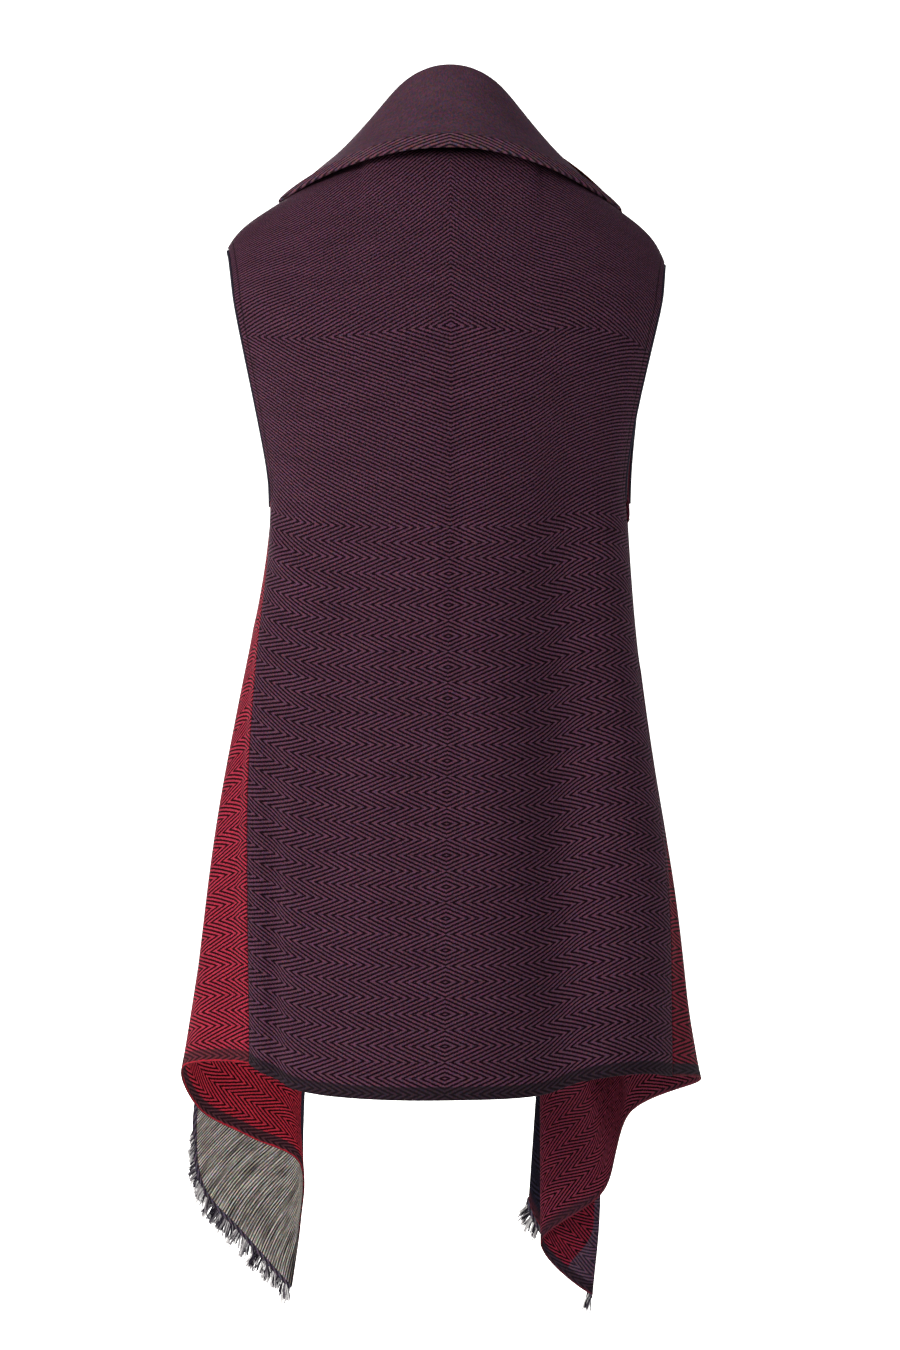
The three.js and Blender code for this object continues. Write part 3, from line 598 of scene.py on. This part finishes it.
leftCreases = [
    (40, 20, 20, 420, 14, 4.0), (95, 10, 60, 460, 18, -6.0), (150, 30, 95, 520, 16, 5.0),
    (60, 480, 120, 760, 20, -4.0), (100, 560, 60, 840, 16, 3.0), (250, 40, 240, 420, 18, 4.0),
    (300, 60, 270, 500, 14, -4.0), (230, 520, 210, 860, 16, 3.0),
]
rightCreases = [
    (45, 20, 25, 420, 14, 4.0), (90, 10, 60, 470, 18, -5.0), (140, 30, 90, 520, 16, 5.0),
    (60, 480, 120, 760, 20, -4.0), (100, 560, 60, 840, 16, 3.0), (260, 60, 230, 460, 12, 3.0),
    (290, 34, 268, 320, 25, -21.0), (234, 30, 226, 270, 19, 14.0),
]
leftPanel, leftPoint = frontPanel("front_left_panel", -1, leftLines, leftCreases,
                                  [redLeftInside, redLeft, redEdge])
rightPanel, rightPoint = frontPanel("front_right_panel", 1, rightLines, rightCreases,
                                    [redRight, redRightInside, redEdge])
print("fronts made")


# collar: a stand from the neckline to the ridge, and a leaf that falls back over the shoulders to a rolled edge
# tuckFrom and tuckTo are the rolled edge's ends, up the leaf and out from it, in rolls

collar = {"ridgeX": 68, "ridgeDepth": 66, "sideZ": 43, "backRise": 45, "edgeX": 178, "edgeDepth": 112,
          "hug": 1.8, "bulge": 9, "stand": 0.55, "roll": 4.8, "rollAtFront": 0.2, "tuckFrom": (2.2, 0.8),
          "tuckTo": (2.4, -1.1), "stations": 200, "counts": [6, 12, 14, 12, 14, 8], "measured": -20}


def collarProfile(angle):
    side = shoulders[-1 if angle < 0 else 1]
    sine, cosine = math.sin(angle), max(math.cos(angle), 0)
    gap = cloth["seamGap"]
    base = np.array([neck["halfWidth"] * sine, -neck["depth"] * cosine - gap, neck["sideRise"] * sine**2])
    ridge = np.array([collar["ridgeX"] * sine, -collar["ridgeDepth"] * cosine - gap,
                      collar["sideZ"] + collar["backRise"] * cosine**1.3])
    edge = np.array([collar["edgeX"] * sine, -collar["edgeDepth"] * cosine ** collar["hug"] - gap,
                     side["edgeZ"] * sine**2])
    along = (edge - ridge) / np.linalg.norm(edge - ridge)
    out = np.cross([cosine, sine, 0], along)
    out /= np.linalg.norm(out)
    roll = collar["roll"] * mix(collar["rollAtFront"], 1, cosine)
    leaf = mix(edge, ridge, 0.5) + out * collar["bulge"] * cosine
    lowLeaf, under = (edge - along * a * roll + out * b * roll
                      for a, b in (collar["tuckFrom"], collar["tuckTo"]))
    start = base + (ridge - base) / np.linalg.norm(ridge - base) * (gap + cloth["thickness"] / 2)
    return [start, mix(start, ridge, collar["stand"]), ridge, leaf, lowLeaf, edge, under]


angles = np.linspace(-math.pi / 2, math.pi / 2, collar["stations"] + 1)
collarPlaces = steps(collar["counts"], [False, False, True, False, False, False, False])
collarPoint = spline(np.array([collarProfile(a) for a in angles]), collarPlaces)
leafRun = lengths(collarPoint, axis=1)
stationRun = lengths(collarPoint, axis=0)[:, [collar["measured"]]] * np.ones((1, collarPoint.shape[1]))
collarFlat = np.stack([stationRun - stationRun[len(angles) // 2], leafRun], axis=-1) / 1000
collarPlace = np.stack([np.broadcast_to(collarPlaces, leafRun.shape), leafRun / 1000], axis=-1)
collarPanel = clothShell("collar_panel", collarPoint, collarFlat, collarPlace,
                         [collarCloth, collarCloth, plumEdge])
print("collar made")

# armhole tape: a folded strip round each slit, just off the cut edges

binding = {"gap": 0.9, "width": 3.0, "thickness": 3.2, "startAbove": 16, "around": 12, "square": 0.6,
           "rounding": 20}

# Wool tape, folded and sewn on: dark navy, fine ribs across it.
tapeWool, tapeTree = newMaterial("navy wool tape")
tapeMap = add(tapeTree, "UVMap", uv_map="flat")
tapeMm = add(tapeTree, "VectorMath", [tapeMap, (1000, 1000, 1000)], operation="MULTIPLY")
ribs = add(tapeTree, "TexWave", {"Vector": tapeMm, "Scale": 0.28, "Distortion": 1.2, "Detail": 2.0})
tapeFuzz = add(tapeTree, "TexNoise", {"Vector": tapeMm, "Scale": 0.8, "Detail": 3.0})
tapeTone = add(tapeTree, "Mix", {0: tapeFuzz, 6: colour("#0f0d17"), 7: colour("#2b2637")}, data_type="RGBA")
tapeBump = add(tapeTree, "Bump", {"Strength": 0.5, "Distance": 0.0004, "Height": ribs.outputs["Fac"]})
tapeMatt = add(tapeTree, "MapRange", {"Value": tapeFuzz, "To Min": 0.75, "To Max": 0.95})
addSurface(tapeTree, {"Base Color": tapeTone.outputs[2], "Normal": tapeBump, "Roughness": tapeMatt,
                      "Specular IOR Level": 0.15})


def unit(vectors):
    return vectors / np.maximum(np.linalg.norm(vectors, axis=-1, keepdims=True), 1e-9)


def stationsOf(points, inside, smooth=1):  # points on an edge, and the way out of the cloth there
    along = unit(np.gradient(points, axis=0))
    out = unit(points - inside)
    out = unit(out - along * (out * along).sum(axis=-1, keepdims=True))
    for _ in range(smooth):
        out[1:-1] = unit(out[:-2] + 2 * out[1:-1] + out[2:])
    return points, out


def tape(name, points, outs):
    low, high = binding["gap"], binding["gap"] + binding["width"]
    turn = np.linspace(0, math.tau, binding["around"], endpoint=False)
    side = unit(np.cross(np.gradient(points, axis=0), outs))
    across = np.sign(np.cos(turn)) * np.abs(np.cos(turn)) ** binding["square"] * (high - low) / 2
    up = np.sign(np.sin(turn)) * np.abs(np.sin(turn)) ** binding["square"] * binding["thickness"] / 2
    middle = points + outs * (low + high) / 2
    rings = middle[:, None] + outs[:, None] * across[None, :, None] + side[:, None] * up[None, :, None]
    count, around = rings.shape[:2]
    faces = [(i + k, i + (k + 1) % around, i + around + (k + 1) % around, i + around + k)
             for i in range(0, (count - 1) * around, around) for k in range(around)]
    faces += [tuple(range(around))[::-1], tuple(range((count - 1) * around, count * around))]
    mesh = bpy.data.meshes.new(name)
    mesh.from_pydata((rings / 1000).reshape(-1, 3).tolist(), [], faces)
    mesh.polygons.foreach_set("use_smooth", [True] * len(faces))
    run = lengths(points) / 1000
    layer = mesh.uv_layers.new(name="flat").uv
    vertices = [loop.vertex_index for loop in mesh.loops]
    layer.foreach_set("vector", [c for i in vertices for c in (run[i // around], i % around * 0.001)])
    work = bmesh.new()
    work.from_mesh(mesh)
    bmesh.ops.recalc_face_normals(work, faces=work.faces)
    work.to_mesh(mesh)
    work.free()
    mesh.materials.append(tapeWool)
    return addObject(name, mesh)


def armholeTape(name, sign, frontPoint):
    edge, inward = (0, 3) if sign < 0 else (-1, -4)
    start = armholeBottomZ + binding["startAbove"]
    backRows = backPoint[backPoint[:, edge, 2] > start]
    frontRows = frontPoint[frontPoint[:, 0, 2] > start][::-1]
    points = np.concatenate([backRows[:, edge], frontRows[1:, 0]])
    for _ in range(binding["rounding"]):  # round over the shoulder's end
        points[1:-1] = (points[:-2] + 2 * points[1:-1] + points[2:]) / 4
    inside = np.concatenate([backRows[:, inward], frontRows[1:, 3]])
    return tape(name, *stationsOf(points, inside, smooth=6))


leftTape = armholeTape("binding_left_tape", -1, leftPoint)
rightTape = armholeTape("binding_right_tape", 1, rightPoint)
print("armhole tapes made")


# fringe: the warp ends beyond a dark woven root band

fringe = {"gap": 0.5, "strip": 4.0, "topZ": -165, "spacing": 0.4, "length": 19, "width": 0.74, "droop": 1.25,
          "tip": 0.6, "bow": (0.1, 0.03, 0.5), "tufts": 105.0, "pull": (2.0, 2.0, 1.1), "patches": 60.0,
          "stray": (0.16, 0.16, 3.1), "uneven": (0.7, 1.12), "shade": (-0.5, 0.36), "whole": 1.1, "worn": 0.55}

# Loose two-ply warp ends: each strand one yarn, from white through grey to purple black.
warpYarn, warpTree = newMaterial("wool fringe yarn")
shadeOf = add(warpTree, "Attribute", attribute_name="shade")
yarnRamp = add(warpTree, "ValToRGB", [shadeOf.outputs["Fac"]])
fillRamp(yarnRamp, ((0.0, "#17131d"), (0.38, "#2c2634"), (0.46, "#6d6870"), (0.58, "#a5a2a6"),
                    (1.0, "#ffffff")))
warpPlace = add(warpTree, "TexCoord")
warpTwist = add(warpTree, "TexNoise", {"Vector": warpPlace.outputs["Object"], "Scale": 900.0, "Detail": 2.0})
warpShade = add(warpTree, "MapRange", {"Value": warpTwist, "To Min": 0.7, "To Max": 1.25})
warpTone = add(warpTree, "VectorMath", {0: yarnRamp, "Scale": warpShade.outputs[0]}, operation="SCALE")
warpBump = add(warpTree, "Bump", {"Strength": 0.4, "Distance": 0.0002, "Height": warpTwist})
addSurface(warpTree, {"Base Color": warpTone, "Normal": warpBump, "Roughness": 0.85,
                      "Specular IOR Level": 0.15})


def strandTree():
    tree = bpy.data.node_groups.new("fringe strands", "GeometryNodeTree")
    face = tree.interface
    for name, kind in (("Geometry", "Geometry"), ("Spacing", "Float"), ("Length", "Float"), ("Width", "Float"),
                       ("Seed", "Int"), ("Yarn", "Material")):
        face.new_socket(name, in_out="INPUT", socket_type="NodeSocket" + kind)
    face.new_socket("Geometry", in_out="OUTPUT", socket_type="NodeSocketGeometry")
    given = tree.nodes.new("NodeGroupInput").outputs
    edge = add(tree, "GeometryNodeMeshToCurve", [given["Geometry"]])
    roots = add(tree, "GeometryNodeResampleCurve", {"Curve": edge, "Length": given["Spacing"]}, mode="LENGTH")
    bow = add(tree, "GeometryNodeCurveQuadraticBezier",
              {"Resolution": 4, "Start": (0, 0, 0), "Middle": fringe["bow"], "End": (0, 0, 1)})
    alongIt = add(tree, "GeometryNodeSplineParameter")
    taper = add(tree, "MapRange", {"Value": alongIt.outputs["Factor"], "To Min": 1.0, "To Max": fringe["tip"]})
    thick = add(tree, "GeometryNodeSetCurveRadius", {"Curve": bow, "Radius": taper.outputs[0]})
    slim = add(tree, "Math", [given["Width"], given["Length"]], operation="DIVIDE")
    ring = add(tree, "GeometryNodeCurvePrimitiveCircle", {"Resolution": 3, "Radius": slim})
    strand = add(tree, "GeometryNodeCurveToMesh", {"Curve": thick, "Profile Curve": ring, "Fill Caps": True})
    hang = add(tree, "GeometryNodeInputNamedAttribute", {"Name": "hang"}, data_type="FLOAT_VECTOR")
    at = add(tree, "GeometryNodeInputPosition")
    tuft = add(tree, "TexNoise", {"Vector": at, "Scale": fringe["tufts"], "Detail": 1.0})
    pull = add(tree, "VectorMath", [tuft.outputs["Color"], (0.5, 0.5, 0.5)], operation="SUBTRACT")
    leaning = add(tree, "VectorMath", [pull, fringe["pull"], hang], operation="MULTIPLY_ADD")
    facing = add(tree, "FunctionNodeAlignRotationToVector", {"Vector": leaning}, axis="Z")
    stray = add(tree, "FunctionNodeRandomValue",
                {0: [-turn for turn in fringe["stray"]], 1: fringe["stray"], 8: given["Seed"]},
                data_type="FLOAT_VECTOR")
    strayTurn = add(tree, "FunctionNodeEulerToRotation", [stray])
    turned = add(tree, "FunctionNodeRotateRotation", [facing, strayTurn], rotation_space="LOCAL")
    low, high = fringe["uneven"]
    uneven = add(tree, "FunctionNodeRandomValue", {2: low, 3: high, 8: given["Seed"]}, data_type="FLOAT")
    reach = add(tree, "GeometryNodeInputNamedAttribute", {"Name": "reach"}, data_type="FLOAT")
    worn = add(tree, "Math", [uneven.outputs[1], reach], operation="MULTIPLY")
    longest = add(tree, "Math", [worn, given["Length"]], operation="MULTIPLY")
    size = add(tree, "CombineXYZ", [given["Length"], given["Length"], longest])
    placed = add(tree, "GeometryNodeInstanceOnPoints",
                 {"Points": roots, "Instance": strand, "Rotation": turned, "Scale": size})
    patchy = add(tree, "TexNoise", {"Vector": at, "Scale": fringe["patches"], "Detail": 2.0})
    low, high = fringe["shade"]
    dice = add(tree, "FunctionNodeRandomValue", {2: low, 3: high, 8: given["Seed"]}, data_type="FLOAT")
    shade = add(tree, "Math", [patchy, dice.outputs[1]], operation="ADD")
    marked = add(tree, "GeometryNodeStoreNamedAttribute", {"Geometry": placed, "Name": "shade", "Value": shade},
                 data_type="FLOAT", domain="INSTANCE")
    real = add(tree, "GeometryNodeRealizeInstances", {"Geometry": marked})
    dressed = add(tree, "GeometryNodeSetMaterial", {"Geometry": real, "Material": given["Yarn"]})
    smooth = add(tree, "GeometryNodeSetShadeSmooth", {"Geometry": dressed})
    tree.links.new(smooth.outputs[0], tree.nodes.new("NodeGroupOutput").inputs[0])
    return tree


strands = strandTree()


# no strands show between the two distances in bare, and they wear shorter between the two in worn
def fringePiece(name, points, outs, seed, bare=(0, 0), worn=None):
    distances = np.array([0.0, 0.33, 0.67, 1.0]) * fringe["strip"] + fringe["gap"]
    grid = points[None] + outs[None] * distances[:, None, None]
    flat = np.stack(np.broadcast_arrays(lengths(points)[None, :], distances[:, None]), axis=-1) / 1000
    piece = clothShell(name, grid, flat, flat, [rootBand, rootBand, rootBand])
    hang = unit(outs + np.array([0, 0, -fringe["droop"]]))
    roots = points + outs * (fringe["gap"] + fringe["strip"] * 0.5)
    run = lengths(points)
    line = bpy.data.meshes.new("roots")
    line.from_pydata((roots / 1000).tolist(),
                     [(i, i + 1) for i in range(len(roots) - 1) if not bare[0] < run[i + 1] < bare[1]], [])
    reach = mix(fringe["whole"], fringe["worn"], ease(*worn, run)) if worn else np.ones_like(run)
    for layer, kind, key, values in (("hang", "FLOAT_VECTOR", "vector", hang),
                                     ("reach", "FLOAT", "value", reach)):
        line.attributes.new(layer, kind, "POINT").data.foreach_set(key, values.astype(np.float32).ravel())
    maker = addObject("roots", line)
    modifier = maker.modifiers.new("strands", "NODES")
    modifier.node_group = strands
    values = {"Spacing": fringe["spacing"] / 1000, "Length": fringe["length"] / 1000,
              "Width": fringe["width"] / 1000, "Seed": seed, "Yarn": warpYarn}
    for item in strands.interface.items_tree:
        if item.in_out == "INPUT" and item.name in values:
            modifier[item.identifier] = values[item.name]
    made = bpy.data.meshes.new_from_object(maker.evaluated_get(bpy.context.evaluated_depsgraph_get()))
    made.polygons.foreach_set("material_index", [3] * len(made.polygons))
    print(f"{name}: {len(made.polygons)} strand faces")
    piece.data.materials.append(warpYarn)
    work = bmesh.new()
    work.from_mesh(piece.data)
    work.from_mesh(made)
    bmesh.ops.recalc_face_normals(work, faces=work.faces)
    work.to_mesh(piece.data)
    work.free()
    bpy.data.objects.remove(maker)
    return piece


leftRows = leftPoint[leftPoint[:, -1, 2] < fringe["topZ"]]
leftFringe = fringePiece("fringe_left_strands", *stationsOf(leftRows[:, -1], leftRows[:, -3], smooth=8), 3,
                         bare=(217, 262), worn=(110, 200))
corner = int(np.argmin(rightPoint[0, :, 2]))
rightRows = rightPoint[1:][rightPoint[1:, -1, 2] < fringe["topZ"]]
rightEdge = np.concatenate([rightPoint[0, corner:], rightRows[:, -1]])
rightInner = np.concatenate([rightPoint[2, corner:], rightRows[:, -3]])
rightFringe = fringePiece("fringe_right_strands", *stationsOf(rightEdge, rightInner, smooth=12), 8,
                          bare=(9, 98))
print("fringes made")

# the camera stands behind the wearer, hip high, and tips down a little
shot = {"lens": 75.1, "sensor": 36, "shift": -0.0722, "place": (0, -2.945, -0.370), "tip": 1.27,
        "clip": (0.05, 60)}
camera = addObject("camera", bpy.data.cameras.new("camera"))
camera.data.lens, camera.data.sensor_width, camera.data.shift_y = shot["lens"], shot["sensor"], shot["shift"]
camera.data.clip_start, camera.data.clip_end = shot["clip"]
camera.location = shot["place"]
camera.rotation_euler = (math.radians(90 - shot["tip"]), 0, 0)
bpy.context.scene.camera = camera

# floor that curves up into a backdrop, well below the cape, which is held up at the shoulders
floorSizes = {"z": -1.48, "half": 12.0, "front": -9.0, "back": 9.0, "bend": 2.0, "steps": 12, "height": 9.0}
profile = [(floorSizes["front"], floorSizes["z"]), (floorSizes["back"] - floorSizes["bend"], floorSizes["z"])]
for k in range(1, floorSizes["steps"] + 1):
    a = k / floorSizes["steps"] * math.pi / 2
    profile.append((floorSizes["back"] - floorSizes["bend"] * (1 - math.sin(a)),
                    floorSizes["z"] + floorSizes["bend"] * (1 - math.cos(a))))
profile.append((floorSizes["back"], floorSizes["height"]))
floorMesh = bpy.data.meshes.new("floor")
floorMesh.from_pydata([(s * floorSizes["half"], y, z) for y, z in profile for s in (-1, 1)], [],
                      [(2 * i, 2 * i + 1, 2 * i + 3, 2 * i + 2) for i in range(len(profile) - 1)])
floorMesh.polygons.foreach_set("use_smooth", [True] * len(floorMesh.polygons))
floor = addObject("floor", floorMesh)
paper, paperTree = newMaterial("backdrop paper")  # plain matt paper, its far part lit from behind
paperPlace = add(paperTree, "TexCoord")
paperXyz = add(paperTree, "SeparateXYZ", [paperPlace.outputs["Object"]])
glow = add(paperTree, "MapRange", {"Value": paperXyz.outputs[1], "From Min": -1.5, "From Max": 1.0,
                                   "To Max": 0.9})
addSurface(paperTree, {"Base Color": colour("#f4f3f1"), "Roughness": 0.95, "Emission Color": (1, 1, 1, 1),
                       "Emission Strength": glow})
floorMesh.materials.append(paper)

# soft boxes aimed at the middle of the back: the key from the left, a weaker fill from the right, one above and
# one beyond that lights the fronts; name, place, size, watts, tint
aim = (0, 0, -0.55)
lamps = [("key", (-2.9, -2.4, 0.7), 1.5, 160, "#fffaf4"), ("fill", (2.6, -2.0, 1.4), 1.6, 19, "#f6f8ff"),
         ("top", (0.5, -0.9, 2.4), 1.8, 25, "#ffffff"), ("front", (-0.8, 2.8, 0.5), 1.8, 90, "#ffffff")]
for name, spot, size, power, tint in lamps:
    light = bpy.data.lights.new(name, "AREA")
    light.shape, light.size, light.energy, light.color = "DISK", size, power, colour(tint)[:3]
    lamp = addObject(name, light)
    lamp.location = spot
    lamp.rotation_euler = (Vector(aim) - Vector(spot)).to_track_quat("-Z", "Y").to_euler()
world = bpy.data.worlds.new("studio")
world.use_nodes = True
sky = world.node_tree.nodes["Background"].inputs
sky["Color"].default_value, sky["Strength"].default_value = (1, 1, 1, 1), 0.24
bpy.context.scene.world = world
bpy.context.scene.view_settings.view_transform = "Standard"

for obj, node, slot in ((backPanel, "back", "plum_cloth"), (leftPanel, "front_left", "red_cloth"),
                        (rightPanel, "front_right", "red_cloth"), (collarPanel, "collar", "plum_cloth"),
                        (leftTape, "binding_left", "binding"), (rightTape, "binding_right", "binding"),
                        (leftFringe, "fringe_left", "fringe"), (rightFringe, "fringe_right", "fringe")):
    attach(obj, "root")
    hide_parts(node)
